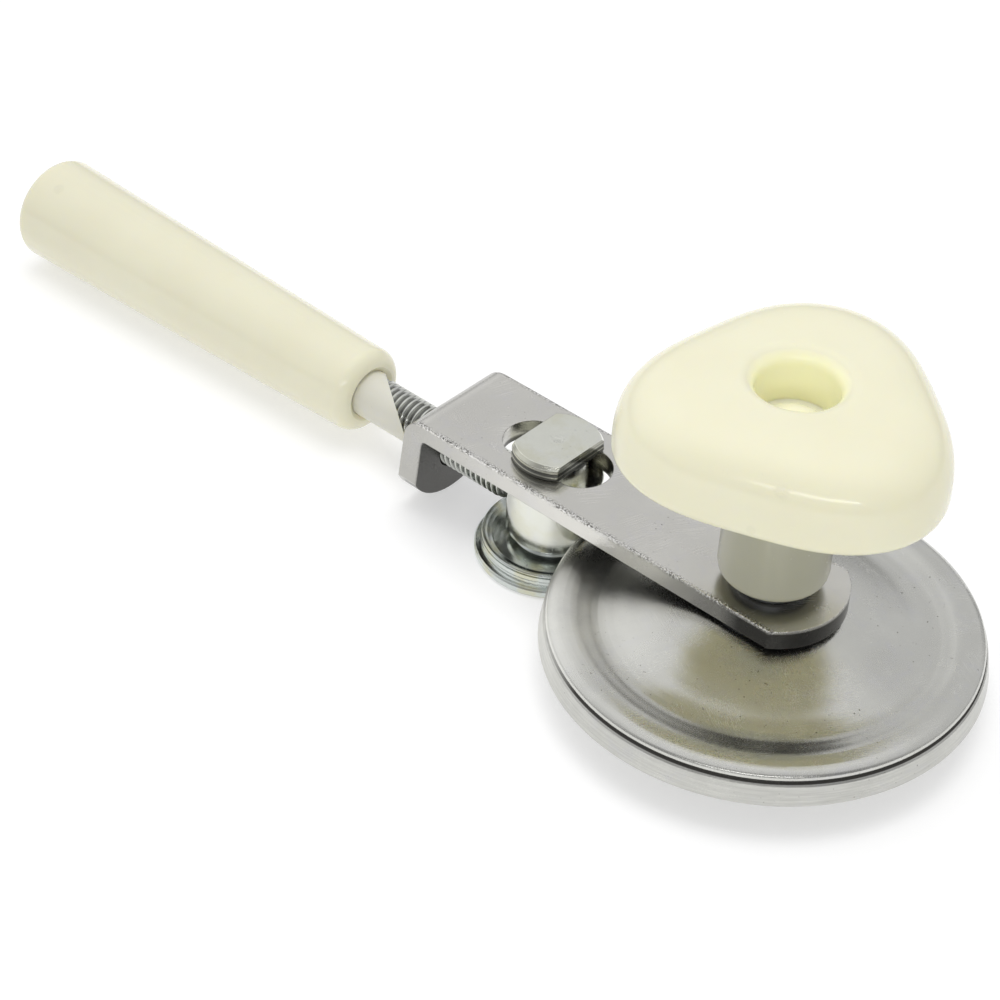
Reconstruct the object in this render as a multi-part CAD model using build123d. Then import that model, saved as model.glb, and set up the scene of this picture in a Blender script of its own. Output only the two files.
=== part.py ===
from build123d import *
import os
from math import pi, sin, cos, tan, radians, degrees, sqrt

# Hand seamer for jar lids.  Millimetres.  The origin is on the axle, level with the lower edge of the
# chuck's skirt.  +Z runs up the axle to the palm knob, the arm and its handle point along -X.

# ---- chuck plate (stamped steel cap) -------------------------------------------------------------
CHUCK_R = 45.0            # outer radius at the skirt's lower edge
SKIRT_TOP_R = 44.2        # the skirt closes in slightly on the way up
SKIRT_TOP_Z = 4.8
SHEET = 1.2               # sheet thickness
LID_SEAT_R = 43.3         # straight inside wall that surrounds the jar lid
LID_SEAT_H = 4.0
BOSS_R = 11.5             # flat top of the central cone
BOSS_Z = 12.1

# ---- axle -------------------------------------------------------------------------------------------
AXLE_R = 5.0
AXLE_HEAD_R = 9.0
AXLE_HEAD_H = 3.0
AXLE_THREAD_R = 4.0
BACKING_R, BACKING_T = 13.0, 1.5
PIVOT_WASHER_R, PIVOT_WASHER_T = 12.0, 0.8
COLLAR_R, COLLAR_H = 8.0, 2.6
RUNNING = 0.06            # radial clearance of turning fits
FACE_GAP = 0.06           # axial play between sliding faces

# ---- arm --------------------------------------------------------------------------------------------
ARM_TOP = 17.42
ARM_T = 4.45
ARM_W = 25.7
ARM_END_R = 15.6          # round free end, about the axle
BEND_R = 1.4              # inside bend radius
BEND_X = -82.2            # inside face of the flange at the arm's underside
FLANGE_LEAN = 7.0         # degrees past square
FLANGE_ARC_R = 14.2       # rounded lower outline of the flange
FLANGE_ARC_Z = 6.7
SLOT_W = 13.6
SLOT_X0, SLOT_X1 = -68.7, -42.6

# ---- roller post --------------------------------------------------------------------------------------
POST_X = -55.7
POST_R = 10.0
POST_BOTTOM = -1.9
NECK_R = 6.6
HEAD_R = 9.2
HEAD_W = 12.5             # across the head's two flats
HEAD_H = 3.5

# ---- roller -------------------------------------------------------------------------------------------
ROLLER_R = 15.0
LIP_R = 16.5
ROLLER_TOP = -3.35
ROLLER_BOTTOM = -8.6
JOURNAL_R = 4.5
BUSH_R = 6.6
SCREW_HEAD_R, SCREW_HEAD_T = 7.0, 1.7

# ---- feed screw and handle ---------------------------------------------------------------------------
SCREW_Z = 4.2
THREAD_R = 4.92           # M10
THREAD_PITCH = 1.5
THREAD_DEPTH = 0.86
TIP_R = 3.0
TIP_END = POST_X - 3.4
GROOVE_R, GROOVE_W, GROOVE_X = 1.8, 2.4, POST_X - 6.1
PIN_R = 1.1
GRIP_IN, GRIP_OUT = -109.2, -216.75
GRIP_R_IN, GRIP_R_OUT = 9.82, 12.48
FERRULE_R = 5.4

# ---- palm knob -----------------------------------------------------------------------------------------
KNOB_R0 = 31.1            # mean outline radius
KNOB_LOBE = 2.8           # the three lobes stand this far out of it, and the sides this far in
KNOB_TURN = -10.0         # degrees, direction of the first lobe
KNOB_EDGE = 51.3          # widest level
KNOB_LOW = 49.4           # lower rim
KNOB_TOP = 66.4
KNOB_WALL = 3.2
STEM_R = 11.1
STEM_LOW = 20.2
RECESS_R, RECESS_FLOOR = 7.8, 55.7
POCKET_R, POCKET_FLOOR = 7.7, 44.6

os.makedirs("parts", exist_ok=True)


def lathe(points, at=(0, 0)):
    """Turn a closed outline of (radius, height) points about a vertical axis."""
    wire = Polyline(*[(r, 0, z) for r, z in points], close=True)
    return Pos(at[0], at[1], 0) * revolve(make_face(wire), Axis.Z)


def lathe_x(points, y=0.0, z=0.0):
    """Turn a closed outline of (x, radius) points about an axis parallel to X."""
    wire = Polyline(*[(x, 0, r) for x, r in points], close=True)
    return Pos(0, y, z) * revolve(make_face(wire), Axis.X)


def tube(r_out, r_in, z0, z1, at=(0, 0), chamfer_by=0.0):
    c = chamfer_by
    pts = [(r_in, z0), (r_out - c, z0)] + ([(r_out, z0 + c)] if c else [])
    pts += ([(r_out, z1 - c)] if c else []) + [(r_out - c, z1), (r_in, z1)]
    return lathe(pts, at)


def save(shape, name, colour):
    if isinstance(shape, ShapeList):
        shape = Compound(children=list(shape))
    shape.label = name
    shape.color = Color(*colour)
    export_step(shape, f"parts/{name}.step")
    made.append((name, shape))


made = []
STEEL = (0.72, 0.72, 0.73)
ZINC = (0.68, 0.70, 0.70)
DARK = (0.30, 0.31, 0.32)
CREAM = (0.90, 0.89, 0.74)

# =============================== chuck body =============================================================
# The cap: straight-walled lid seat inside, a fine crease between skirt and rounded shoulder, an annular
# bead, a shallow valley and a cone up to the flat boss.
outer_low = [(CHUCK_R - 0.25, 0), (CHUCK_R, 0.3), (SKIRT_TOP_R + 0.05, SKIRT_TOP_Z - 0.25),
             (SKIRT_TOP_R - 0.2, SKIRT_TOP_Z), (43.5, 5.15), (43.45, 5.35)]
crown = [(43.45, 5.35), (43.75, 5.85), (43.3, 6.75), (41.6, 7.45), (39.0, 7.55), (36.2, 6.85), (33.4, 6.3),
         (30.4, 6.8), (27.0, 8.0), (22.0, 9.75), (17.0, 11.15), (13.6, 11.95), (BOSS_R, BOSS_Z)]
under = [(BOSS_R, BOSS_Z - SHEET), (16.6, 11.15 - SHEET), (22.0, 9.72 - SHEET), (27.0, 7.95 - SHEET),
         (30.4, 6.75 - SHEET), (33.4, 6.25 - SHEET), (36.2, 6.8 - SHEET), (39.0, 6.2), (41.6, 5.7),
         (LID_SEAT_R - 0.15, 4.6), (LID_SEAT_R, LID_SEAT_H)]


def at3(pts):
    return [(r, 0, z) for r, z in pts]


def flowing(points, first, last):
    """Arcs, two a span, smoothly through (radius, height) points, from direction first to last."""
    p = [Vector(r, 0, z) for r, z in points]
    heading = [Vector(first[0], 0, first[1]).normalized()]
    heading += [(c - a).normalized() for a, c in zip(p, p[2:])]
    heading += [Vector(last[0], 0, last[1]).normalized()]
    arcs = []
    for a, b, ta, tb in zip(p, p[1:], heading, heading[1:]):
        v, t = b - a, ta + tb
        bend = 2 * (1 - ta.dot(tb))
        if bend > 1e-9:
            d = (-v.dot(t) + sqrt(v.dot(t) ** 2 + bend * v.dot(v))) / bend
        else:
            d = v.dot(v) / (4 * v.dot(tb))
        middle = (a + b + (ta - tb) * d) * 0.5
        arcs += [TangentArc(a, middle, tangent=ta), TangentArc(b, middle, tangent=-tb)]
    return arcs


hole = AXLE_R + 0.05
cap_edges = [
    Polyline(*at3([(LID_SEAT_R, LID_SEAT_H), (LID_SEAT_R, 0)] + outer_low)),
    *flowing(crown, (0.35, 1), (-1, 0)),
    Polyline(*at3([(BOSS_R, BOSS_Z), (hole, BOSS_Z), (hole, BOSS_Z - SHEET), (BOSS_R, BOSS_Z - SHEET)])),
    *flowing(under, (1, 0), (0.02, -1)),
]
chuck_plate = revolve(make_face([e for run in cap_edges for e in run.edges()]), Axis.Z)
save(chuck_plate, "chuck_plate", STEEL)

under_boss = BOSS_Z - SHEET
backing = tube(BOSS_R - 0.3, hole, under_boss - BACKING_T, under_boss, chamfer_by=0.3)
save(backing, "chuck_backing_washer", STEEL)

head_top = under_boss - BACKING_T
collar_z = ARM_TOP + FACE_GAP
axle_end = 53.6
axle_bolt = lathe([(0, head_top - AXLE_HEAD_H), (AXLE_HEAD_R - 2.6, head_top - AXLE_HEAD_H),
                   (AXLE_HEAD_R - 0.9, head_top - 2.2), (AXLE_HEAD_R, head_top - 0.9),
               (AXLE_HEAD_R, head_top),
                   (AXLE_R, head_top), (AXLE_R, collar_z), (AXLE_THREAD_R, collar_z + 0.2),
                   (AXLE_THREAD_R, axle_end - 0.8), (AXLE_THREAD_R - 0.8, axle_end), (0, axle_end)])
save(axle_bolt, "axle_bolt", ZINC)

arm_low = ARM_TOP - ARM_T
save(tube(PIVOT_WASHER_R, hole, BOSS_Z, arm_low - FACE_GAP, chamfer_by=0.15), "pivot_washer", ZINC)

collar_top = STEM_LOW
save(lathe([(AXLE_THREAD_R + 0.05, collar_z + 0.2), (AXLE_R + 0.05, collar_z), (COLLAR_R - 0.4, collar_z),
            (COLLAR_R, collar_z + 0.4), (COLLAR_R, collar_top - 0.5), (COLLAR_R - 0.5, collar_top),
            (AXLE_THREAD_R + 0.05, collar_top)]), "axle_collar", DARK)


def trilobe(scale, z, roundness=1.0, shrink=0.0, count=36):
    """Closed knob outline; roundness 1 keeps the three lobes and 0 is a circle."""
    pts = []
    for i in range(count):
        a = 2 * pi * i / count
        r = scale * (KNOB_R0 + roundness * KNOB_LOBE * cos(3 * (a - radians(KNOB_TURN)))) - shrink
        pts.append((r * cos(a), r * sin(a), z))
    return make_face(Spline(*pts, periodic=True))


def knob_level(s):
    """Height of the knob's upper skin where it is s of the way out to the edge."""
    return KNOB_EDGE + (KNOB_TOP - KNOB_EDGE) * (1 - s ** 5.4) ** 0.36


steps = [1.0, 0.994, 0.975, 0.94, 0.885, 0.80, 0.68, 0.54, 0.40, 0.28]
skin = [trilobe(1.0, KNOB_LOW + 0.9, shrink=0.25), trilobe(1.0, KNOB_EDGE)]
skin += [trilobe(s, knob_level(s), roundness=min(1.0, max(0.0, (s - 0.35) / 0.35))) for s in steps[1:]]
head = loft(skin)
rim = loft([trilobe(1.0, KNOB_LOW, shrink=1.1), trilobe(1.0, KNOB_LOW + 0.35, shrink=0.55),
            trilobe(1.0, KNOB_LOW + 0.9, shrink=0.25)])
cavity = loft([trilobe(1.0, KNOB_LOW - 0.5, shrink=KNOB_WALL),
               trilobe(1.0, KNOB_EDGE + 3.0, shrink=KNOB_WALL),
               trilobe(0.93, KNOB_TOP - KNOB_WALL - 3.6, shrink=KNOB_WALL),
               trilobe(0.80, KNOB_TOP - KNOB_WALL - 1.6, shrink=KNOB_WALL)])
stem = lathe([(0, STEM_LOW), (STEM_R - 1.6, STEM_LOW), (STEM_R - 0.75, STEM_LOW + 0.3),
              (STEM_R - 0.2, STEM_LOW + 0.95), (STEM_R, STEM_LOW + 2.0),
               (STEM_R - 0.35, KNOB_TOP - 4.0),
               (0, KNOB_TOP - 4.0)])
ribs = [Rot(0, 0, KNOB_TURN + 120 * k) * Pos(18, 0, KNOB_LOW + 8.5) * Box(30, 2.4, 13.0) for k in range(3)]
knob = (head + rim) - cavity
inside = loft([trilobe(1.0, KNOB_LOW + 1.5, shrink=KNOB_WALL - 0.4),
               trilobe(1.0, KNOB_EDGE + 3.0, shrink=KNOB_WALL - 0.4),
               trilobe(0.93, KNOB_TOP - KNOB_WALL - 3.2, shrink=KNOB_WALL - 0.4),
               trilobe(0.80, KNOB_TOP - KNOB_WALL - 1.2, shrink=KNOB_WALL - 0.4)])
for rib in ribs:
    knob += rib & inside
knob += stem
mouth = [(RECESS_R + 0.3, RECESS_FLOOR + 6.0), (RECESS_R + 0.9, RECESS_FLOOR + 8.8),
         (RECESS_R + 2.3, KNOB_TOP - 0.5),
         (RECESS_R + 4.4, KNOB_TOP + 0.1)]
recess_outline = [*flowing(mouth, (0.05, 1), (1, 0.05)),
                  Polyline(*at3([mouth[-1], (mouth[-1][0], KNOB_TOP + 2), (0, KNOB_TOP + 2),
                                 (0, RECESS_FLOOR),
                                 (RECESS_R, RECESS_FLOOR), mouth[0]]))]
recess = revolve(make_face([e for run in recess_outline for e in run.edges()]), Axis.Z)
bores = lathe([(0, STEM_LOW - 1), (AXLE_THREAD_R + 0.1, STEM_LOW - 1), (AXLE_THREAD_R + 0.1, POCKET_FLOOR),
               (POCKET_R, POCKET_FLOOR), (POCKET_R, RECESS_FLOOR + 0.5), (0, RECESS_FLOOR + 0.5)])
knob = knob - recess - bores
save(knob, "palm_knob", CREAM)

save(tube(POCKET_R - 0.1, AXLE_THREAD_R + 0.05, POCKET_FLOOR, POCKET_FLOOR + 1.4), "knob_washer", ZINC)
nut_z = POCKET_FLOOR + 1.4
nut = Pos(0, 0, nut_z) * extrude(RegularPolygon(6.5, 6, major_radius=False), 6.4)
nut = nut & lathe([(0, nut_z), (6.9, nut_z), (7.6, nut_z + 0.5), (7.6, nut_z + 5.9), (6.9, nut_z + 6.4),
                   (0, nut_z + 6.4)])
nut = nut - Pos(0, 0, nut_z + 3.2) * Cylinder(AXLE_THREAD_R + 0.05, 8)
save(nut, "knob_nut", ZINC)
dome = [(6.1, RECESS_FLOOR + 0.05), (4.7, RECESS_FLOOR + 0.95), (2.6, RECESS_FLOOR + 1.4),
        (0, RECESS_FLOOR + 1.55)]
plug_outline = [*flowing(dome, (-0.5, 1), (-1, 0)),
                Polyline(*at3([dome[-1], (0, 54.0), (POCKET_R - 0.1, 54.0),
                               (POCKET_R - 0.1, RECESS_FLOOR), dome[0]]))]
plug = revolve(make_face([e for run in plug_outline for e in run.edges()]), Axis.Z)
save(plug, "knob_plug", CREAM)

# =============================== arm ====================================================================
lean = radians(FLANGE_LEAN)
drop = arm_low - (FLANGE_ARC_Z - FLANGE_ARC_R) + 2
side = Polyline((20, 0, ARM_TOP), (BEND_X - ARM_T, 0, ARM_TOP),
                (BEND_X - ARM_T / cos(lean) - (drop + ARM_T) * tan(lean), 0, arm_low - drop),
                (BEND_X - drop * tan(lean), 0, arm_low - drop), (BEND_X, 0, arm_low), (20, 0,
                                                                                       arm_low), close=True)
strip = extrude(make_face(side), ARM_W / 2, both=True)
bend_in = strip.edges().filter_by(Axis.Y).sort_by(lambda e: (e.center() - Vector(BEND_X, 0,
                                                                                 arm_low)).length)[0]
strip = fillet(bend_in, BEND_R)
bend_out = strip.edges().filter_by(Axis.Y).sort_by(lambda e: (e.center() - Vector(BEND_X - ARM_T, 0,
                                                                                  ARM_TOP)).length)[0]
strip = fillet(bend_out, BEND_R + ARM_T)

# plan view: square at the bend, and a round end about the axle
nose = Pos(0, 0, arm_low - 1) * extrude(Circle(ARM_END_R), ARM_T + 2)
keep = Pos(-60, 0, 0) * Box(120, ARM_W, 80) + nose
strip = strip & keep
# the flange's rounded lower outline
below = Pos(BEND_X - 5, 0, FLANGE_ARC_Z) * Rot(0, 90, 0) * Cylinder(FLANGE_ARC_R, 40)
lower_box = Pos(BEND_X - 5, 0, FLANGE_ARC_Z - 20) * Box(40, 60, 40)
strip = strip - (lower_box - below)
# slot
slot_mid, slot_len = (SLOT_X0 + SLOT_X1) / 2, SLOT_X1 - SLOT_X0
strip = strip - Pos(slot_mid, 0, arm_low - 1) * extrude(SlotOverall(slot_len, SLOT_W), ARM_T + 2)
# axle bore and the screw's hole with its countersink
strip = strip - Pos(0, 0, ARM_TOP) * Cylinder(AXLE_R + RUNNING, 20)
strip = strip - Pos(BEND_X - 3, 0, SCREW_Z) * Rot(0, 90, 0) * Cylinder(THREAD_R + 0.08, 30)
sink_x = BEND_X - (arm_low - SCREW_Z) * tan(lean)
strip = strip - lathe_x([(sink_x + 2, 0), (sink_x + 2, THREAD_R + 1.1), (sink_x + 0.6, THREAD_R + 1.1),
                         (sink_x - 1.0, THREAD_R), (sink_x - 1.0, 0)], z=SCREW_Z)
sharp = strip.edges().filter_by(GeomType.LINE).filter_by(Axis.X).filter_by(lambda e: e.length > 40)
strip = fillet(sharp, 0.25)
save(strip, "arm_bracket", STEEL)

# =============================== roller post ============================================================
head_z = ARM_TOP + FACE_GAP
post = lathe([(0, POST_BOTTOM), (POST_R - 0.6, POST_BOTTOM), (POST_R, POST_BOTTOM + 0.6),
              (POST_R, arm_low - FACE_GAP - 0.3),
              (POST_R - 0.3, arm_low - FACE_GAP), (NECK_R, arm_low - FACE_GAP), (NECK_R, head_z),
               (0, head_z)], at=(POST_X, 0))
cap = lathe([(0, head_z), (HEAD_R + 0.15, head_z), (HEAD_R + 0.5, head_z + 0.35),
             (HEAD_R + 0.5, head_z + 1.25),
             (HEAD_R + 0.2, head_z + 1.4), (HEAD_R + 0.2, head_z + 1.62), (HEAD_R + 0.4, head_z + 1.77),
             (HEAD_R + 0.4, head_z + HEAD_H - 0.8), (HEAD_R - 0.2, head_z + HEAD_H), (1.0, head_z + HEAD_H),
             (0.0, head_z + HEAD_H - 0.15)], at=(POST_X, 0))
cap = cap & Pos(POST_X, 0, head_z + HEAD_H / 2) * Box(HEAD_W, 40, HEAD_H + 2)
post = post + cap
post = post - lathe_x([(POST_X - POST_R - 2, 0), (POST_X - POST_R - 2, TIP_R + RUNNING),
                       (TIP_END + 0.2, TIP_R + RUNNING),
                       (TIP_END + 1.2, 0)], z=SCREW_Z)
post = post - Pos(POST_X, 0, POST_BOTTOM) * Cylinder(2.95, 18)
pin_y = GROOVE_R + PIN_R + 0.15
pin_low, pin_top = POST_BOTTOM, SCREW_Z + 4.0
post = post - Pos(GROOVE_X, pin_y, (pin_low + pin_top) / 2 - 0.5) * Cylinder(PIN_R, pin_top - pin_low + 1.0)
save(post, "roller_post", ZINC)
save(Pos(GROOVE_X, pin_y, (pin_low + pin_top) / 2) * Cylinder(PIN_R, pin_top - pin_low - 0.2),
     "swivel_pin", ZINC)

thread_top = POST_BOTTOM + 7.5
seat = ROLLER_BOTTOM + 0.2 + SCREW_HEAD_T
roller_screw = lathe([(0, seat - SCREW_HEAD_T), (SCREW_HEAD_R - 0.3, seat - SCREW_HEAD_T),
                      (SCREW_HEAD_R, seat - SCREW_HEAD_T + 0.3), (SCREW_HEAD_R, seat), (JOURNAL_R, seat),
                      (JOURNAL_R, POST_BOTTOM), (2.9, POST_BOTTOM), (2.9, thread_top - 0.6),
               (2.3, thread_top),
                      (0, thread_top)], at=(POST_X, 0))
roller_screw = roller_screw - Pos(POST_X, 0, seat - SCREW_HEAD_T) * Box(30, 1.6, 1.4)
save(roller_screw, "roller_screw", ZINC)
washer_low = ROLLER_TOP + 0.1 + FACE_GAP
save(tube(7.9, JOURNAL_R + 0.05, washer_low, POST_BOTTOM, at=(POST_X, 0), chamfer_by=0.15),
     "roller_washer", DARK)

# =============================== roller =================================================================
hub = ROLLER_TOP + 0.1
roller_turns = [(ROLLER_R - 0.7, 0), (ROLLER_R - 0.25, 0), (ROLLER_R, 0.3), (ROLLER_R, 0.5),
                (ROLLER_R - 0.3, 0.6),
                (ROLLER_R - 0.3, 0.73), (ROLLER_R + 0.1, 0.83), (ROLLER_R + 0.15, 1.67),
               (ROLLER_R - 0.02, 1.75),
                (ROLLER_R + 0.15, 1.83), (ROLLER_R + 0.2, 2.55),
               (ROLLER_R + 0.05, 2.73), (ROLLER_R + 0.55, 2.9),
                (LIP_R - 0.35, 3.02), (LIP_R, 3.4)]                  # radius, distance below the top
roller = lathe([(BUSH_R, hub), (7.9, hub), (8.3, ROLLER_TOP - 0.4), (12.8, ROLLER_TOP - 0.75),
                (13.8, ROLLER_TOP - 0.3)] +
               [(r, ROLLER_TOP - d) for r, d in roller_turns] +
               [(LIP_R, ROLLER_BOTTOM + 0.9), (LIP_R - 0.3, ROLLER_BOTTOM + 0.3),
                (LIP_R - 0.9, ROLLER_BOTTOM),
                (SCREW_HEAD_R + 0.5, ROLLER_BOTTOM), (SCREW_HEAD_R + 0.5, seat + FACE_GAP),
               (BUSH_R, seat + FACE_GAP)],
               at=(POST_X, 0))
save(roller, "seaming_roller", ZINC)
save(tube(BUSH_R, JOURNAL_R + RUNNING, seat + FACE_GAP, hub, at=(POST_X, 0)), "roller_bush",
     (0.72, 0.58, 0.32))

# =============================== feed screw =============================================================
thread_out, thread_in = -108.0, POST_X - POST_R - 0.25
root_r = THREAD_R - THREAD_DEPTH
turns = int((thread_in - 1.0 - thread_out) / THREAD_PITCH)
teeth = [(thread_out, THREAD_R - 0.15), (thread_out + 0.5, root_r)]
for turn in range(turns):                      # one ridge a pitch; the screw's real ridge winds round it
    mid = thread_out + 0.5 + THREAD_PITCH * (turn + 0.5)
    teeth += [(mid - 0.60, root_r), (mid - 0.11, THREAD_R), (mid + 0.11, THREAD_R), (mid + 0.60, root_r)]
feed_screw = lathe_x([(GRIP_OUT + 40, 0), (GRIP_OUT + 40, 3.2), (GRIP_OUT + 41, 4.2), (-113.0, 4.2),
                      (-112.0, THREAD_R - 0.15)] + teeth +
                     [(thread_in, root_r), (thread_in, TIP_R), (GROOVE_X - GROOVE_W / 2, TIP_R),
                      (GROOVE_X - GROOVE_W / 2, GROOVE_R), (GROOVE_X + GROOVE_W / 2, GROOVE_R),
                      (GROOVE_X + GROOVE_W / 2, TIP_R), (TIP_END - 0.5, TIP_R),
               (TIP_END, TIP_R - 0.5),
               (TIP_END, 0)],
                     z=SCREW_Z)
save(feed_screw, "feed_screw", ZINC)

# thin sleeve over the thread, its inner end cut on a slant
ferrule = lathe_x([(-110.8, THREAD_R + 0.06), (-110.8, FERRULE_R), (-91.0, FERRULE_R),
                   (-91.0, THREAD_R + 0.06)],
                  z=SCREW_Z)
cut = Plane(origin=(-101.54, 0, SCREW_Z), z_dir=(1, 1.392, 0.473))
ferrule = ferrule - cut * Pos(0, 0, 20) * Box(80, 80, 40)
save(ferrule, "handle_ferrule", CREAM)

# handle: slightly tapered, a soft lip round the ferrule's seat and a rounded outer end
taper = (GRIP_R_OUT - GRIP_R_IN) / (GRIP_IN - GRIP_OUT)


def grip_r(x):
    return GRIP_R_IN + (GRIP_IN - x) * taper


lip = 3.3
grip_outline = [
    Spline((GRIP_OUT, 0, 0), (GRIP_OUT + 0.25, 0, 6.2), (GRIP_OUT + 1.0, 0, 9.9),
           (GRIP_OUT + 3.4, 0, grip_r(GRIP_OUT + 3.4)),
           tangents=[(0, 0, 1), (1, 0, -taper)]),
    Line((GRIP_OUT + 3.4, 0, grip_r(GRIP_OUT + 3.4)), (GRIP_IN - lip, 0, grip_r(GRIP_IN - lip))),
    Spline((GRIP_IN - lip, 0, grip_r(GRIP_IN - lip)), (GRIP_IN - 0.95, 0, GRIP_R_IN - 1.0),
           (GRIP_IN, 0, GRIP_R_IN - lip),
           tangents=[(1, 0, -taper), (0, 0, -1)]),
    Polyline((GRIP_IN, 0, GRIP_R_IN - lip), (GRIP_IN - 0.7, 0, FERRULE_R + 0.06),
             (-110.8, 0, FERRULE_R + 0.06),
             (-110.8, 0, THREAD_R - 0.1), (-113.05, 0, THREAD_R - 0.1), (-113.05, 0,
                                                                         4.25), (GRIP_OUT + 39.9, 0,
                                                                                 4.25),
             (GRIP_OUT + 39.9, 0, 0), (GRIP_OUT, 0, 0)),
]
grip = revolve(make_face([e for part in grip_outline for e in part.edges()]), Axis.X)
grip = Pos(0, 0, SCREW_Z) * grip
save(grip, "handle_grip", CREAM)

for name, shape in made:
    box = shape.bounding_box()
    print(f"{name:22s} solids {len(shape.solids())} volume {shape.volume:10.1f} valid {shape.is_valid} "
          f"x {box.min.X:7.2f} {box.max.X:7.2f} y {box.min.Y:6.2f} {box.max.Y:6.2f} "
          f"z {box.min.Z:6.2f} {box.max.Z:6.2f}")
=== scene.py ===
import bpy
import bmesh
from math import radians, sin, cos, pi
from mathutils import Matrix, Vector


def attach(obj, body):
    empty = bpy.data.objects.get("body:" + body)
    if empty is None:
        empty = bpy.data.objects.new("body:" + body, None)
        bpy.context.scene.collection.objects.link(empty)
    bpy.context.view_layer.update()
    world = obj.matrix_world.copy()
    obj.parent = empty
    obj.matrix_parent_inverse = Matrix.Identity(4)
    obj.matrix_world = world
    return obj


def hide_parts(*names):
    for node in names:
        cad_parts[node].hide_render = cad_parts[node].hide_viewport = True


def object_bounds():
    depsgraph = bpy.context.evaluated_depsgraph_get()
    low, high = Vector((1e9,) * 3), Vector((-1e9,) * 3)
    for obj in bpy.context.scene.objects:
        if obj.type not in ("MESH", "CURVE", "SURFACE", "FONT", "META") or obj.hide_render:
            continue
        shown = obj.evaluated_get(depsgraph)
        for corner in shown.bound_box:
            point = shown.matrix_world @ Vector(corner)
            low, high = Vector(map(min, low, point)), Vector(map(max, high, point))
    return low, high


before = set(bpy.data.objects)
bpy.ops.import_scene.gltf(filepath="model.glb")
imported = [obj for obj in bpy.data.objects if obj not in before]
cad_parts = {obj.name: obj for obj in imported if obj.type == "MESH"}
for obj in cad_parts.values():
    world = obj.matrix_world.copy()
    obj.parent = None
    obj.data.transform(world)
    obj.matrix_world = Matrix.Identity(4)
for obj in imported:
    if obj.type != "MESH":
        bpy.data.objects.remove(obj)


def as_lists(box):
    return [[round(float(c), 6) for c in corner] for corner in box]


cad_box = as_lists(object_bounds())
scene = bpy.context.scene
MM = 0.001

# ---- sizes, in millimetres, in the part's frame ---------------------------------------------------------
ARM_HALF = 12.85            # half the arm strip's width
ARM_TOP = 17.4
ARM_SIDE_TOP = 16.9         # the strip's side below its rounded top edge
FLANGE_IN = -87.0           # inner face of the bent-down flange
CHUCK_CREASE_R = 43.0       # dark crease between shoulder and skirt
CHUCK_CREASE = (4.9, 5.5)
SCREW_Z = 4.2               # height of the feed screw's axis
PITCH = 1.5
CREST_R, ROOT_R = 4.9, 4.08
THREAD_START, THREAD_END = -107.9, -66.1
KNOB_R = 31.08              # mean radius of the palm knob's outline
KNOB_LOBE = 2.8             # how far its three lobes reach beyond and inside that
KNOB_TURN = radians(-10.0)
KNOB_EDGE_Z, KNOB_TOP_Z = 51.3, 66.34
RECESS_R, RECESS_Z = 7.8, 55.7
STEM_R = 11.2
HEAD_CENTRE = (-55.7, 0.0, 20.9)      # middle of the T-head's top


def metres(point):
    return tuple(c * MM for c in point)


def darker(colour, factor):
    return tuple(min(1.0, c * factor) for c in colour)


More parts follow.
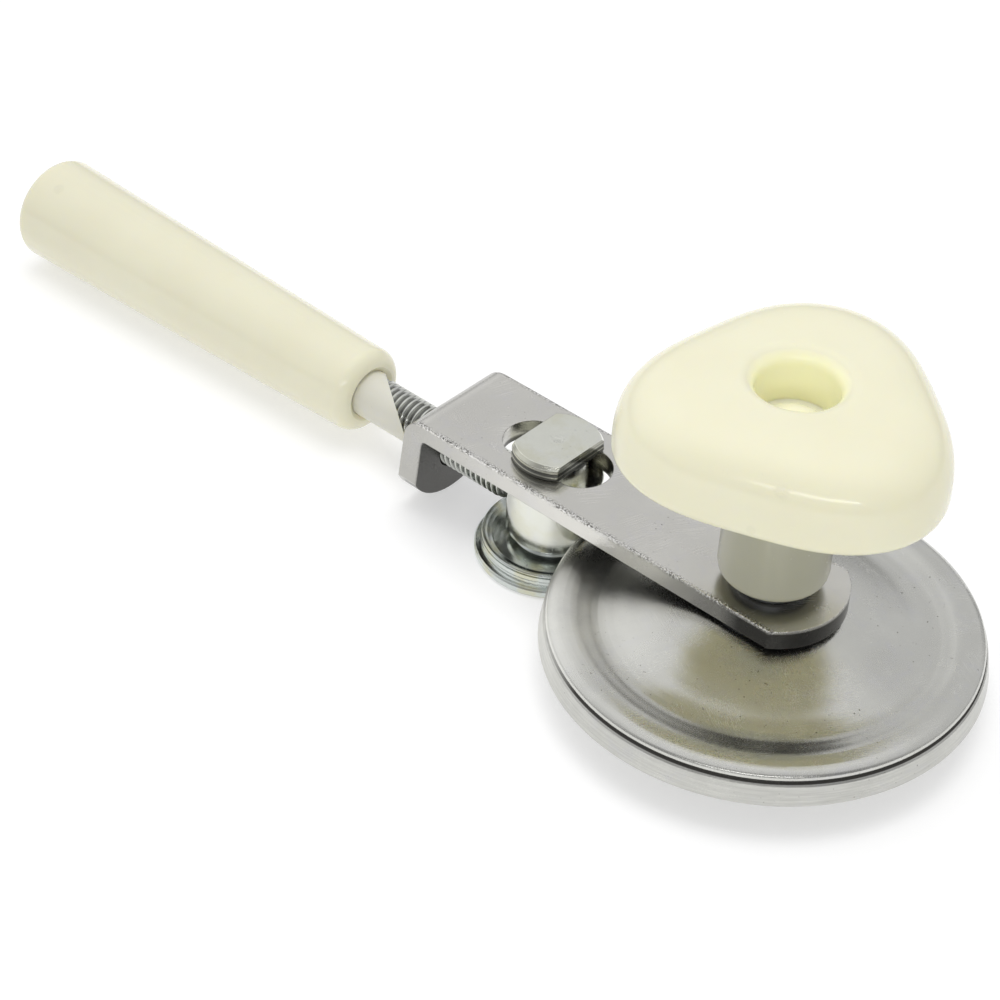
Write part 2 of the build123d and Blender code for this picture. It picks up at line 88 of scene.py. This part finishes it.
# ---- shader nodes ---------------------------------------------------------------------------------------
class Mat:
    """A Principled material, with short calls for the nodes that feed it. Positions are in millimetres."""

    def __init__(self, name):
        self.m = bpy.data.materials.new(name)
        self.m.use_nodes = True
        self.t = self.m.node_tree
        self.t.nodes.clear()
        self.out = self.t.nodes.new("ShaderNodeOutputMaterial")
        self.bsdf = self.t.nodes.new("ShaderNodeBsdfPrincipled")
        self.link(self.bsdf.outputs[0], self.out.inputs["Surface"])
        self.coord = self.t.nodes.new("ShaderNodeTexCoord").outputs["Object"]

    def link(self, a, b):
        self.t.links.new(a, b)

    def put(self, socket, value):
        if isinstance(value, bpy.types.NodeSocket):
            self.link(value, socket)
        else:
            socket.default_value = value

    def mapping(self, scale=(1, 1, 1), rot=(0, 0, 0), loc=(0, 0, 0), vec=None):
        n = self.t.nodes.new("ShaderNodeMapping")
        n.inputs["Scale"].default_value = scale
        n.inputs["Rotation"].default_value = rot
        n.inputs["Location"].default_value = loc
        self.link(vec or self.coord, n.inputs["Vector"])
        return n.outputs[0]

    def noise(self, scale, detail=3.0, rough=0.55, loc=None, vec=None, distortion=0.0):
        if loc:
            vec = self.mapping(loc=loc)
        n = self.t.nodes.new("ShaderNodeTexNoise")
        n.inputs["Scale"].default_value = scale
        n.inputs["Detail"].default_value = detail
        n.inputs["Roughness"].default_value = rough
        n.inputs["Distortion"].default_value = distortion
        self.link(vec or self.coord, n.inputs["Vector"])
        return n.outputs["Fac"]

    def ramp(self, value, lo, hi, a=0.0, b=1.0):
        n = self.t.nodes.new("ShaderNodeMapRange")
        n.clamp = True
        self.put(n.inputs["Value"], value)
        n.inputs["From Min"].default_value = lo
        n.inputs["From Max"].default_value = hi
        n.inputs["To Min"].default_value = a
        n.inputs["To Max"].default_value = b
        return n.outputs[0]

    def along(self, distance, lo, hi, a=0.0, b=1.0):
        """A ramp over a distance given in millimetres."""
        return self.ramp(distance, lo * MM, hi * MM, a, b)

    def math(self, op, a, b=None, clamp=False):
        n = self.t.nodes.new("ShaderNodeMath")
        n.operation = op
        n.use_clamp = clamp
        self.put(n.inputs[0], a)
        if b is not None:
            self.put(n.inputs[1], b)
        return n.outputs[0]

    def add(self, a, b, clamp=False):
        return self.math("ADD", a, b, clamp)

    def times(self, *values):
        product = values[0]
        for value in values[1:]:
            product = self.math("MULTIPLY", product, value)
        return product

    def mix(self, fac, a, b):
        n = self.t.nodes.new("ShaderNodeMix")
        n.data_type = "RGBA"
        self.put(n.inputs[0], fac)
        for socket, value in ((6, a), (7, b)):
            is_link = isinstance(value, bpy.types.NodeSocket)
            self.put(n.inputs[socket], value if is_link else (*value, 1.0))
        return n.outputs[2]

    def xyz(self):
        n = self.t.nodes.new("ShaderNodeSeparateXYZ")
        self.link(self.coord, n.inputs[0])
        return n.outputs[0], n.outputs[1], n.outputs[2]

    def length(self, a, b):
        return self.math("SQRT", self.add(self.times(a, a), self.times(b, b)))

    def spot(self, centre, radius, soft=0.35):
        """1 inside a small ball about centre, 0 outside."""
        n = self.t.nodes.new("ShaderNodeVectorMath")
        n.operation = "DISTANCE"
        self.link(self.coord, n.inputs[0])
        n.inputs[1].default_value = metres(centre)
        return self.along(n.outputs["Value"], radius * (1 - soft), radius, 1.0, 0.0)

    def scratches(self, angle, seed, fine=2600.0):
        """Thin straight scratches along one direction, broken into short strokes."""
        turned = self.mapping(rot=(0, 0, angle), loc=(seed, seed * 0.7, 0))
        line = self.noise(fine, 1.0, 0.4, vec=self.mapping(scale=(0.012, 1, 1), vec=turned))
        line = self.ramp(self.math("ABSOLUTE", self.math("SUBTRACT", line, 0.5)), 0.0, 0.045, 1.0, 0.0)
        strokes = self.ramp(self.noise(90.0, 2.0, 0.5, loc=(seed, 3 + seed, 1)), 0.56, 0.66)
        return self.times(line, strokes)

    def edges(self, radius):
        """The normal rounded over edges, and a mask of those edges."""
        b = self.t.nodes.new("ShaderNodeBevel")
        b.samples = 6
        b.inputs["Radius"].default_value = radius * MM
        g = self.t.nodes.new("ShaderNodeNewGeometry")
        d = self.t.nodes.new("ShaderNodeVectorMath")
        d.operation = "DOT_PRODUCT"
        self.link(b.outputs[0], d.inputs[0])
        self.link(g.outputs["Normal"], d.inputs[1])
        return b.outputs[0], self.ramp(d.outputs["Value"], 0.995, 0.90)

    def bump(self, height, strength, distance, normal=None):
        n = self.t.nodes.new("ShaderNodeBump")
        n.inputs["Strength"].default_value = strength
        n.inputs["Distance"].default_value = distance
        self.link(height, n.inputs["Height"])
        if normal is not None:
            self.link(normal, n.inputs["Normal"])
        return n.outputs[0]

    def set(self, **inputs):
        for name, value in inputs.items():
            self.put(self.bsdf.inputs[name.replace("_", " ")], value)
        return self.m


# ---- metal ----------------------------------------------------------------------------------------------
class Metal(Mat):
    """Plated or bare steel: cloudy tone, fine grain, specks, scratches and worn, bright edges.

    The calls below lay further marks over it, painted shade and painted highlights among them, and done()
    closes the material.
    """

    def __init__(self, name, base, dark, rough, grain=7000.0, bevel=0.2, speck=0.5, scratch=0.25,
                 tint=None, tint_at=(0.46, 0.66), chips=0.0):
        super().__init__(name)
        self.base = base
        self.normal, edge = self.edges(bevel)
        cloud = self.noise(70.0, 4.0, 0.6)
        fine = self.noise(grain, 2.0, 0.6)
        haze = self.ramp(self.noise(210.0, 5.0, 0.7, loc=(4, 2, 9), distortion=0.6), 0.52, 0.70)
        red, green, blue = base
        bright = darker(base, 1.25)

        self.colour = self.mix(self.ramp(cloud, 0.35, 0.7), base, darker(base, 0.93))
        self.paint(haze, (red * 0.93, green * 0.93, blue * 1.02), 0.5)
        if tint:
            self.paint(self.ramp(self.noise(160.0, 3.0, 0.6, loc=(2, 5, 1)), *tint_at), tint)

        pits = self.ramp(self.noise(1500.0, 1.0, 0.5, loc=(7, 1, 4)), 0.74, 0.78)
        pitted = self.ramp(self.noise(60.0, 2.0, 0.5, loc=(1, 8, 2)), 0.42, 0.62, 0.0, speck)
        pits = self.times(pits, pitted)
        lines = self.math("MAXIMUM", self.scratches(0.5, 1.0), self.scratches(-0.9, 4.0))
        lines = self.math("MAXIMUM", lines, self.scratches(1.9, 9.0, fine=3400.0))
        scuff = self.ramp(self.noise(130.0, 4.0, 0.65, loc=(6, 6, 3), distortion=1.5), 0.66, 0.70)
        scuff = self.times(scuff, self.ramp(self.noise(1100.0, 2.0, 0.7), 0.35, 0.6))
        self.paint(pits, dark)
        self.paint(lines, bright, scratch)
        if speck > 0.4:
            self.paint(scuff, bright, 0.45)
        wear = self.ramp(self.noise(900.0, 2.0, 0.6), 0.38, 0.62, 0.15, 0.9)
        self.paint(self.times(edge, wear), bright)

        self.height = self.add(self.times(fine, 0.5), self.times(lines, -0.5))
        self.lift(pits, -1.2)
        if chips:
            chip = self.ramp(self.noise(1700.0, 2.0, 0.7, loc=(5, 9, 7)), 0.50, 0.56)
            chip = self.times(edge, chip, chips)
            self.paint(chip, darker(base, 0.25))
            self.lift(chip, -3.0)

        self.rough = self.add(self.ramp(cloud, 0.3, 0.75, rough - 0.03, rough + 0.05),
                              self.ramp(fine, 0.3, 0.7, -0.02, 0.04))
        self.roughen(scuff, 0.22)
        self.roughen(lines, 0.05)

    def paint(self, mask, colour, amount=1.0):
        if amount != 1.0:
            mask = self.times(mask, amount)
        self.colour = self.mix(mask, self.colour, colour)

    def roughen(self, mask, amount):
        self.rough = self.add(self.rough, self.times(mask, amount), clamp=True)

    def lift(self, mask, amount):
        self.height = self.add(self.height, self.times(mask, amount))

    def crease(self, radius, low, high):
        """Painted shade: black in a round crease about the z axis, where the undercut under the shoulder
        lies in shadow.
        """
        x, y, z = self.xyz()
        crease_shade = self.times(self.along(self.length(x, y), radius, radius + 0.1),
                          self.along(z, low - 0.1, low), self.along(z, high, high + 0.2, 1.0, 0.0))
        self.paint(crease_shade, (0.03, 0.028, 0.025), 0.95)

    def sheared_edges_and_glints(self, half, top):
        """A sheared, chipped top edge along both sides of a strip: dark flecks, and near-white flecks
        painted as glints of its sparkle.
        """
        x, y, z = self.xyz()
        near = self.times(self.along(self.math("ABSOLUTE", y), half - 1.1, half - 0.2),
                          self.along(z, top - 1.0, top - 0.3))
        torn = self.noise(2300.0, 3.0, 0.8, loc=(3, 1, 6))
        patchy = self.ramp(self.noise(170.0, 2.0, 0.5, loc=(8, 2, 2)), 0.36, 0.52, 0.25, 1.0)
        near = self.times(near, patchy)
        white = self.times(near, self.ramp(torn, 0.46, 0.40))
        self.paint(self.times(near, self.ramp(torn, 0.50, 0.56)), darker(self.base, 0.12))
        # painted glints: near-white flecks along the edge
        self.paint(white, (0.95, 0.95, 0.95))
        self.roughen(white, 0.35)
        self.lift(self.times(near, torn), 14.0)

    def paint_side_shade(self, top, half, flange):
        """Painted shade: the sides darker at the bend and toward the round end, and the inner flange face
        darker.
        """
        x, y, z = self.xyz()
        side_shade = self.add(self.along(x, -82.0, -45.0, 0.36, 0.0), self.along(x, -16.0, -5.0, 0.0, 0.34))
        side_shade = self.add(side_shade, self.along(x, -3.0, 2.0, 0.0, 0.56))
        side_shade = self.times(side_shade, self.along(z, top, top - 0.3))
        inner = self.times(self.along(z, 14.6, 13.8), self.along(x, flange - 1.5, flange, 0.0, 0.88),
                           self.along(self.math("ABSOLUTE", y), half - 0.45, half - 0.15, 1.0, 0.0))
        # painted shade on the sides and the inner flange face
        self.paint(self.math("MAXIMUM", side_shade, inner), darker(self.base, 0.06))

    def rubbed_sheen(self, centre, radius):
        """A hazy, rubbed patch, painted lighter as a sheen where the plate reflects the bright room."""
        worn = self.ramp(self.noise(120.0, 4.0, 0.6, loc=(2, 2, 7)), 0.30, 0.55, 0.55, 1.0)
        patch = self.times(self.spot(centre, radius, 0.75), worn)
        # painted sheen: the patch's colour lifted lighter
        self.paint(patch, darker(self.base, 1.45), 0.75)
        self.roughen(patch, 0.20)

    def painted_skirt_shade(self, top):
        """Painted shade: the skirt below a height darkened, in faint round streaks."""
        z = self.xyz()[2]
        below = self.along(z, top, top - 0.2)
        streaks = self.noise(900.0, 3.0, 0.7, vec=self.mapping(scale=(0.10, 0.10, 3.0)))
        self.paint(self.times(below, self.ramp(streaks, 0.35, 0.65, 0.05, 0.26)), darker(self.base, 0.25))
        self.roughen(below, 0.06)

    def painted_step_shade(self, low, high, amount):
        """Painted shade: a turned step between two heights darkened, for the shadow under the T-head."""
        z = self.xyz()[2]
        soft = 0.12
        step_shade = self.times(self.along(z, low - soft, low + soft),
                          self.along(z, high - soft, high + soft, 1.0, 0.0))
        self.paint(step_shade, darker(self.base, 0.05), amount)

    def painted_root_shade(self, axis_z, inner, outer):
        """Painted shade between the threads about an axis along x, darker towards the root."""
        x, y, z = self.xyz()
        out = self.length(y, self.math("SUBTRACT", z, axis_z * MM))
        self.paint(self.along(out, inner, outer, 0.80, 0.0), darker(self.base, 0.12))

    def rough_centre(self, centre, radius):
        """A rough, flecked patch."""
        patch = self.spot(centre, radius, 0.6)
        fleck = self.times(patch, self.ramp(self.noise(2100.0, 3.0, 0.8), 0.42, 0.6))
        self.paint(fleck, darker(self.base, 0.6), 0.5)
        self.roughen(patch, 0.12)
        self.lift(fleck, 6.0)

    def done(self):
        normal = self.bump(self.height, 0.30, 0.00002, self.normal)
        return self.set(Base_Color=self.colour, Metallic=1.0, Roughness=self.rough, Normal=normal)


def arm_steel():
    m = Metal("zinc_arm_steel", (0.71, 0.70, 0.66), (0.10, 0.09, 0.08), 0.22, bevel=0.3, speck=0.9,
              scratch=0.30, chips=0.6)
    # painted glints along the strip's top edges
    m.sheared_edges_and_glints(ARM_HALF, ARM_TOP)
    # painted shade on the strip's sides
    m.paint_side_shade(ARM_SIDE_TOP, ARM_HALF, FLANGE_IN)
    return m.done()


def chuck_steel():
    m = Metal("stamped_chuck_steel", (0.62, 0.62, 0.585), (0.12, 0.11, 0.09), 0.23, grain=5200.0, speck=1.0,
              scratch=0.5)
    # painted shade in the crease between shoulder and skirt
    m.crease(CHUCK_CREASE_R, *CHUCK_CREASE)
    # rubbed patch with painted sheen on the chuck's left
    m.rubbed_sheen((-28.5, -25.8, 7.0), 21.0)
    # painted shade on the skirt
    m.painted_skirt_shade(CHUCK_CREASE[0])
    return m.done()


def bright_zinc():
    return Metal("bright_zinc", (0.68, 0.68, 0.63), (0.10, 0.11, 0.11), 0.15, speck=0.35,
                 tint=(0.70, 0.68, 0.52)).done()


def post_zinc():
    m = Metal("post_zinc", (0.79, 0.80, 0.73), (0.10, 0.10, 0.09), 0.15, speck=0.4, tint=(0.74, 0.74, 0.63))
    # painted shade on the head's lower steps
    for low, high, amount in ((17.1, 18.4, 0.85), (18.6, 19.45, 0.85), (19.9, 20.2, 0.35)):
        m.painted_step_shade(low, high, amount)
    m.rough_centre(HEAD_CENTRE, 2.2)
    return m.done()


def screw_zinc():
    m = Metal("screw_zinc", (0.66, 0.67, 0.63), (0.10, 0.11, 0.11), 0.16, speck=0.35)
    # painted shade in the thread roots
    m.painted_root_shade(SCREW_Z, 4.2, 4.7)
    return m.done()


def roller_zinc():
    return Metal("roller_zinc", (0.66, 0.70, 0.67), (0.10, 0.11, 0.12), 0.18, speck=0.35,
                 tint=(0.64, 0.64, 0.50), tint_at=(0.52, 0.66)).done()


# Near-black steel for the washers and collar between parts; its darkness is partly painted shade of the
# gaps they sit in.
def shaded_gap_steel():
    return Metal("shaded_gap_steel", (0.13, 0.135, 0.14), (0.03, 0.03, 0.03), 0.30).done()


def bearing_bronze():
    return Metal("bearing_bronze", (0.62, 0.47, 0.25), (0.15, 0.10, 0.05), 0.30).done()


# ---- cream plastic --------------------------------------------------------------------------------------
def cream(name, base, shade, marks=(), shine=0.12, recess=None, stem=None):
    """Cream moulding. marks are rough spots; recess is a painted glow about the knob's recess, and stem is
    painted shade on its stem.
    """
    m = Mat(name)
    cloud = m.noise(45.0, 3.0, 0.5)
    dust = m.ramp(m.noise(1300.0, 1.0, 0.5, loc=(3, 3, 8)), 0.775, 0.80)
    colour = m.mix(m.ramp(cloud, 0.35, 0.7), base, shade)
    colour = m.mix(m.times(dust, 0.35), colour, darker(base, 0.72))
    x, y, z = m.xyz()
    out = m.length(x, y)
    if recess:                                         # thin translucent walls about the recess
        # painted glow: the colour lifted lighter and yellower about the recess
        recess_glow = m.times(m.along(out, RECESS_R + 2.0, RECESS_R + 0.8), m.along(z, 54.0, 56.0))
        colour = m.mix(recess_glow, colour, recess)
    if stem:                                           # painted shade: the stem darker under the knob
        low = m.times(m.along(out, STEM_R + 0.6, STEM_R + 0.3), m.along(z, 49.0, 45.0))
        colour = m.mix(low, colour, stem)
    height = m.times(m.noise(900.0, 2.0, 0.5), 0.12)
    for centre, radius in marks:
        rough_mark = m.times(m.spot(centre, radius), m.noise(2600.0, 2.0, 0.7))
        height = m.add(height, m.times(rough_mark, 4.0))
        colour = m.mix(m.times(rough_mark, 0.55), colour, darker(base, 0.86))
    rough = m.add(m.ramp(cloud, 0.3, 0.7, shine, shine + 0.05), m.times(dust, 0.2))
    return m.set(Base_Color=colour, Roughness=rough, Subsurface_Weight=0.30, Subsurface_Scale=1.0,
                 Subsurface_Radius=(0.006, 0.005, 0.0022), IOR=1.52, Normal=m.bump(height, 0.25, 0.00006))


def cream_knob():
    return cream("cream_knob", (0.79, 0.77, 0.59), (0.775, 0.75, 0.56),
                 marks=[((14.21, -23.07, 60.79), 1.6), ((10.81, -26.16, 51.84), 1.1)],
                 # recess: painted glow; stem: painted shade
                 recess=(0.96, 0.94, 0.66), stem=(0.44, 0.435, 0.34))


def cream_plug():
    return cream("cream_plug", (0.90, 0.88, 0.70), (0.88, 0.86, 0.68))


def cream_handle():
    return cream("cream_handle", (0.76, 0.74, 0.575), (0.74, 0.715, 0.55),
                 marks=[((-207.1, -5.24, 15.21), 1.6)])


def cream_sleeve():
    return cream("cream_sleeve", (0.78, 0.75, 0.59), (0.73, 0.70, 0.55), shine=0.30)


# ---- shapes ---------------------------------------------------------------------------------------------
def to_object(bm, name):
    bmesh.ops.recalc_face_normals(bm, faces=bm.faces)
    mesh = bpy.data.meshes.new(name)
    bm.to_mesh(mesh)
    bm.free()
    mesh.polygons.foreach_set("use_smooth", [True] * len(mesh.polygons))
    obj = bpy.data.objects.new(name, mesh)
    scene.collection.objects.link(obj)
    return obj


def about_screw(bm, x, r, angle):
    """A vertex at a radius and angle about the screw's axis, angle 0 being up."""
    return bm.verts.new(metres((x, -r * sin(angle), SCREW_Z + r * cos(angle))))


def turned(bm, outline, count):
    """A body turned about the screw's axis from (x, radius) points that start and end on the axis."""
    rings = []
    for x, r in outline:
        if r == 0:
            rings.append([bm.verts.new(metres((x, 0, SCREW_Z)))])
        else:
            rings.append([about_screw(bm, x, r, 2 * pi * j / count) for j in range(count)])
    for a, b in zip(rings, rings[1:]):
        for j in range(count):
            k = (j + 1) % count
            if len(a) == 1:
                bm.faces.new((a[0], b[j], b[k]))
            elif len(b) == 1:
                bm.faces.new((a[j], b[0], a[k]))
            else:
                bm.faces.new((a[j], b[j], b[k], a[k]))


def ridge_radius(phase, fade):
    """Radius over one pitch: rounded root, straight flanks, narrow crest; fade 0 is plain root."""
    off_crest = abs(phase - 0.5) * 2.0
    high = min(1.0, max(0.0, (0.84 - off_crest) / 0.66))
    return ROOT_R + (CREST_R - ROOT_R) * high * fade


def helical_screw(name):
    """The feed screw with one winding ridge, between its plain shank and its grooved tip."""
    around, per_pitch, run_out = 48, 10, 2.2
    step = PITCH / per_pitch
    count = int((THREAD_END - THREAD_START) / step) + per_pitch
    bm = bmesh.new()

    def point(i, j):
        x = THREAD_START + (i - per_pitch + j * per_pitch / around) * step
        fade = max(0.0, min(1.0, (x - THREAD_START) / run_out, (THREAD_END - x) / run_out))
        r = ridge_radius((i / per_pitch) % 1.0, fade)
        return about_screw(bm, min(max(x, THREAD_START), THREAD_END), r, 2 * pi * j / around)

    # row i follows the ridge, so after one turn it meets row i + per_pitch
    grid = [[point(i, j) for j in range(around)] for i in range(count)]
    for i in range(count - 1):
        for j in range(around - 1):
            bm.faces.new((grid[i][j], grid[i + 1][j], grid[i + 1][j + 1], grid[i][j + 1]))
        if i + per_pitch + 1 < count:
            ahead, beyond = grid[i + per_pitch][0], grid[i + 1 + per_pitch][0]
            bm.faces.new((grid[i][-1], grid[i + 1][-1], beyond, ahead))

    shank = [(-176.75, 0), (-176.75, 3.2), (-175.75, 4.2), (-113.0, 4.2), (-112.0, 4.7), (-107.8, 4.7),
             (-107.3, 4.05), (-106.0, 4.05), (-106.0, 0)]
    tip = [(-68.5, 0), (-68.5, 4.05), (-65.95, 4.05), (-65.95, 3.0), (-63.0, 3.0), (-63.0, 1.8),
           (-60.6, 1.8), (-60.6, 3.0), (-59.6, 3.0), (-59.1, 2.5), (-59.1, 0)]
    turned(bm, shank, around)
    turned(bm, tip, around)

    # the rows gathered at each end become one ring, which is then closed
    bmesh.ops.remove_doubles(bm, verts=bm.verts, dist=1e-6)
    bmesh.ops.dissolve_degenerate(bm, dist=1e-6, edges=bm.edges)
    bmesh.ops.holes_fill(bm, edges=[e for e in bm.edges if e.is_boundary], sides=0)
    return to_object(bm, name)


def knob_rings():
    """Rings from the recess out over the dome, round the rim, up the hollow and down the stem.

    Each is (scale of the three-lobed outline, radius added to it, height, strength of the lobes). With a
    scale of 0 the ring is round.
    """
    recess = [(0.0, RECESS_R, RECESS_Z, 0.0), (0.0, RECESS_R, RECESS_Z + 0.05, 0.0),
              (0.0, RECESS_R + 0.2, 60.0, 0.0)]
    lip = []
    for k in range(13):
        t = radians(90.0 * k / 12)
        lip.append((0.0, 11.5 - 3.4 * cos(t), 62.95 + 3.38 * sin(t), 0.0))
    dome = []
    for k in range(70, -1, -1):
        q = 0.9463 * (k / 70.0) ** 1.35
        scale = cos(q * pi / 2) ** (2 / 5.4)
        level = KNOB_EDGE_Z + (KNOB_TOP_Z - KNOB_EDGE_Z) * sin(q * pi / 2) ** 0.72
        dome.append((scale, 0.0, level, min(1.0, max(0.0, (scale - 0.35) / 0.35))))
    rim = [(1.0, added, z, 1.0) for added, z in (
        (-0.06, 50.8), (-0.25, 50.3), (-0.5, 49.85), (-0.9, 49.5), (-1.4, 49.4), (-2.6, 49.4),
        (-3.1, 49.55), (-3.2, 50.0), (-3.3, 54.0))]
    hollow = [(0.97, -3.2, 57.2, 1.0), (0.92, -3.2, 59.6, 1.0), (0.82, -3.2, 61.3, 1.0),
              (0.6, -3.2, 62.2, 0.6), (0.0, 11.6, 62.3, 0.0)]
    stem = [(0.0, radius, z, 0.0) for radius, z in (
        (10.85, 61.6), (11.08, 22.2), (10.9, 21.15), (10.55, 20.55), (10.0, 20.25), (9.5, 20.2),
        (4.15, 20.2))]
    return recess + lip + dome + rim + hollow + stem


def palm_knob(name):
    """The moulded knob: recess, domed top, rounded edge, thin rim, ribless hollow underside and stem."""
    around = 216
    bm = bmesh.new()
    loops = []
    for scale, added, z, lobes in knob_rings():
        loop = []
        for j in range(around):
            angle = 2 * pi * j / around
            r = scale * (KNOB_R + lobes * KNOB_LOBE * cos(3 * (angle - KNOB_TURN))) + added
            loop.append(bm.verts.new(metres((r * cos(angle), r * sin(angle), z))))
        loops.append(loop)
    for a, b in zip(loops, loops[1:]):
        for j in range(around):
            k = (j + 1) % around
            bm.faces.new((a[j], a[k], b[k], b[j]))
    bm.faces.new(loops[0])
    bm.faces.new(loops[-1])
    return to_object(bm, name)


knob = palm_knob("palm_knob_moulding")
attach(knob, "chuck")
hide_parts("palm_knob")

screw = helical_screw("feed_screw_thread")
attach(screw, "screw")
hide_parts("feed_screw")

# ---- what each node is made of --------------------------------------------------------------------------
worn = {
    arm_steel: ["arm_bracket"],
    chuck_steel: ["chuck_plate", "chuck_backing_washer"],
    bright_zinc: ["axle_bolt", "knob_washer", "knob_nut", "swivel_pin", "roller_screw"],
    post_zinc: ["roller_post"],
    screw_zinc: ["feed_screw", screw.name],
    roller_zinc: ["seaming_roller"],
    shaded_gap_steel: ["pivot_washer", "axle_collar", "roller_washer"],
    bearing_bronze: ["roller_bush"],
    cream_knob: ["palm_knob", knob.name],
    cream_plug: ["knob_plug"],
    cream_handle: ["handle_grip"],
    cream_sleeve: ["handle_ferrule"],
}
for make, names in worn.items():
    material = make()
    for name in names:
        obj = bpy.data.objects[name]
        if not obj.material_slots:
            obj.data.materials.append(material)
        for material_slot in obj.material_slots:
            material_slot.material = material


# ---- floor ----------------------------------------------------------------------------------------------
def white_floor(level):
    """A pale floor. Part of its white is its own glow, so the contact shadow stays faint."""
    bpy.ops.mesh.primitive_plane_add(size=6.0, location=(0, 0, level))
    plane = bpy.context.object
    plane.name = "floor"
    material = bpy.data.materials.new("floor_white")
    material.use_nodes = True
    inputs = material.node_tree.nodes["Principled BSDF"].inputs
    inputs["Base Color"].default_value = (0.62, 0.62, 0.62, 1)
    inputs["Emission Color"].default_value = (1, 1, 1, 1)
    inputs["Emission Strength"].default_value = 0.42
    inputs["Roughness"].default_value = 0.85
    inputs["Specular IOR Level"].default_value = 0.1
    plane.data.materials.append(material)
    return plane


FLOOR_GAP = 0.02            # keeps the floor just clear of the lowest face
floor = white_floor(cad_box[0][2] - FLOOR_GAP * MM)


# ---- light ----------------------------------------------------------------------------------------------
def studio_world():
    """A grey room, brighter with height, darker on its open side and brighter on the handle's side."""
    world = bpy.data.worlds.new("studio")
    scene.world = world
    world.use_nodes = True
    tree = world.node_tree
    background = tree.nodes["Background"]
    direction = tree.nodes.new("ShaderNodeTexCoord").outputs["Generated"]

    height = tree.nodes.new("ShaderNodeSeparateXYZ")
    tree.links.new(direction, height.inputs[0])
    walls = tree.nodes.new("ShaderNodeValToRGB")
    tree.links.new(height.outputs[2], walls.inputs[0])
    levels = [(0.0, 0.22), (0.09, 0.34), (0.20, 0.60), (0.40, 0.74), (0.62, 0.68), (0.76, 0.72),
              (0.88, 0.90), (1.0, 0.98)]
    stops = walls.color_ramp.elements
    while len(stops) < len(levels):
        stops.new(0.5)
    for stop, (at, value) in zip(stops, levels):
        stop.position = at
        stop.color = (value, value, value * 1.01, 1)

    def scaled_toward(light, side, lo, hi, factor):
        """light times factor where a direction points to side, eased in from lo to hi of the cosine."""
        dot = tree.nodes.new("ShaderNodeVectorMath")
        dot.operation = "DOT_PRODUCT"
        tree.links.new(direction, dot.inputs[0])
        dot.inputs[1].default_value = side
        ease = tree.nodes.new("ShaderNodeMapRange")
        ease.interpolation_type = "SMOOTHSTEP"
        tree.links.new(dot.outputs["Value"], ease.inputs["Value"])
        ease.inputs["From Min"].default_value = lo
        ease.inputs["From Max"].default_value = hi
        ease.inputs["To Min"].default_value = 1.0
        ease.inputs["To Max"].default_value = factor
        product = tree.nodes.new("ShaderNodeMix")
        product.data_type = "RGBA"
        product.blend_type = "MULTIPLY"
        product.inputs[0].default_value = 1.0
        tree.links.new(light, product.inputs[6])
        tree.links.new(ease.outputs[0], product.inputs[7])
        return product.outputs[2]

    light = scaled_toward(walls.outputs[0], (0.646, -0.763, 0.0), -0.05, 0.75, 0.42)
    light = scaled_toward(light, (-0.93, 0.05, 0.36), 0.76, 0.93, 1.35)
    tree.links.new(light, background.inputs["Color"])
    background.inputs["Strength"].default_value = 1.04


def softbox(name, location, size, watts, mirrored=True):
    """A rectangular light aimed at the middle of the tool. Unmirrored, it shows in no reflection."""
    light = bpy.data.lights.new(name, "AREA")
    light.shape = "RECTANGLE"
    light.size, light.size_y = size
    light.energy = watts
    obj = bpy.data.objects.new(name, light)
    scene.collection.objects.link(obj)
    obj.location = location
    aim = Vector((-0.08, 0.0, 0.01)) - Vector(location)
    obj.rotation_euler = aim.to_track_quat("-Z", "Y").to_euler()
    obj.visible_glossy = mirrored


studio_world()
softbox("top_box", (-0.10, 0.05, 1.0), (0.7, 0.7), 3.8, mirrored=False)
softbox("front_box", (0.48, -0.72, 0.46), (0.8, 0.09), 1.1)
softbox("front_fill", (0.45, -0.80, 0.40), (0.8, 0.8), 1.9, mirrored=False)


# ---- camera ---------------------------------------------------------------------------------------------
def aim_camera():
    right = Vector((0.7413, 0.6700, 0.0384)).normalized()
    back = Vector((0.5002, -0.5898, 0.6341)).normalized()
    up = back.cross(right).normalized()
    right = up.cross(back)
    lens = bpy.data.cameras.new("camera")
    lens.sensor_width = 36.0
    lens.lens = lens.sensor_width * 2.55
    lens.shift_x = -0.002
    lens.clip_start = 0.01
    lens.clip_end = 20.0
    camera = bpy.data.objects.new("camera", lens)
    scene.collection.objects.link(camera)
    axes = Matrix((right, up, back)).transposed().to_4x4()
    camera.matrix_world = Matrix.Translation(Vector((0.2036, -0.3227, 0.3436))) @ axes
    scene.camera = camera


aim_camera()
scene.view_settings.view_transform = "Standard"
